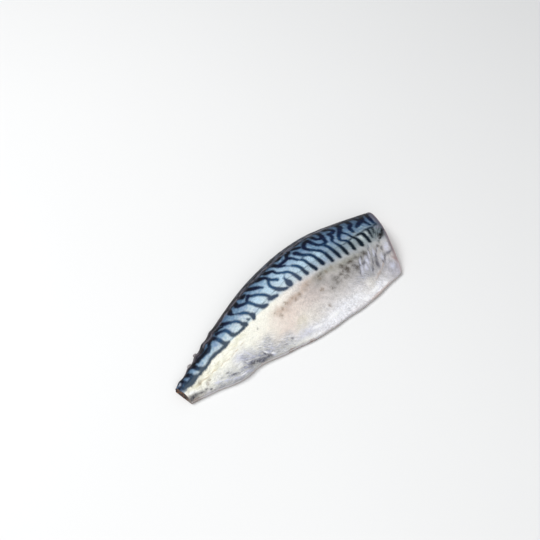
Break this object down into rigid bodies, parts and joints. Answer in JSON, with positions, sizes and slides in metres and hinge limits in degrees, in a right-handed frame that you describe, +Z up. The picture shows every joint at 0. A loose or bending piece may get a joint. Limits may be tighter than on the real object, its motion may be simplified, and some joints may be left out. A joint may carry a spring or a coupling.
{
  "type": "mackerel fillet",
  "caption": "Raw skin-on mackerel fillet lying flesh side down, with a blunt back edge, a thick loin, a thin belly flap and slanting head cut.",
  "frame": {"origin": "middle of the fillet's box, at the height of the surface that it rests on", "axes": "+X from the tail cut to the head cut along the fillet, +Y to the fish's back edge, +Z up out of the skin"},
  "size_m": [0.2386, 0.0868, 0.0215],
  "materials": {
    "skin": "wet satin fish skin: dark blue bars on pale blue over the back, cream to silver flank and belly; pink flesh underneath"
  },
  "bodies": {
    "root": {"fillet": "skin"}
  },
  "joints": []
}
